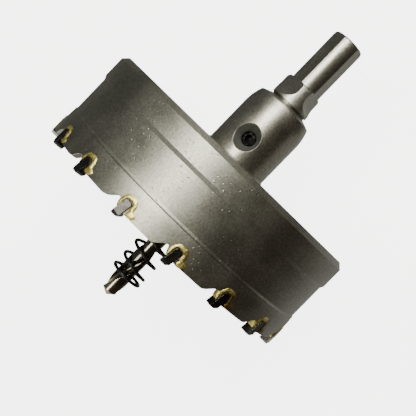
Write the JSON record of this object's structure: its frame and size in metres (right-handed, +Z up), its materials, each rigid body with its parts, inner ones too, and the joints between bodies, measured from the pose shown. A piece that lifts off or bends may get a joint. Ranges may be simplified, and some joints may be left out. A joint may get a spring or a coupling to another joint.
{
  "type": "hole saw",
  "caption": "Round steel cutting cup with brazed carbide tips, a centre drill inside an ejector spring, and a hub with a flatted chuck shank.",
  "frame": {"origin": "centre of the shank's end, on the saw's axis", "axes": "+X along the axis from the drill's point towards the end of the shank, +Z up with the saw lying on its side"},
  "size_m": [0.1154, 0.0998, 0.0998],
  "materials": {
    "satin_steel": "bead-blasted nickel",
    "black_steel": "black oxide",
    "drill_steel": "ground, with dark flutes",
    "spring_wire": "blackened wire",
    "carbide": "ground carbide",
    "braze": "as brazed"
  },
  "bodies": {
    "saw": {"cup": "satin_steel", "arbor": "satin_steel", "grub_screw": "black_steel", "pilot_drill": "drill_steel", "tooth_01": "carbide", "tooth_02": "carbide", "tooth_03": "carbide", "tooth_04": "carbide", "tooth_05": "carbide", "tooth_06": "carbide", "tooth_07": "carbide", "tooth_08": "carbide", "tooth_09": "carbide", "tooth_10": "carbide", "tooth_11": "carbide", "tooth_12": "carbide", "tooth_13": "carbide", "tooth_14": "carbide", "tooth_15": "carbide", "tooth_16": "carbide", "braze_01": "braze", "braze_02": "braze", "braze_03": "braze", "braze_04": "braze", "braze_05": "braze", "braze_06": "braze", "braze_07": "braze", "braze_08": "braze", "braze_09": "braze", "braze_10": "braze", "braze_11": "braze", "braze_12": "braze", "braze_13": "braze", "braze_14": "braze", "braze_15": "braze", "braze_16": "braze"},
    "ejector": {"ejector_spring": "spring_wire"}
  },
  "joints": [
    {"name": "ejector_press", "type": "slide", "parent": "saw", "child": "ejector", "axis": [1, 0, 0], "range_m": [0, 0.025], "stiffness_N_per_m": 600, "deforming": ["ejector_spring"]}
  ]
}
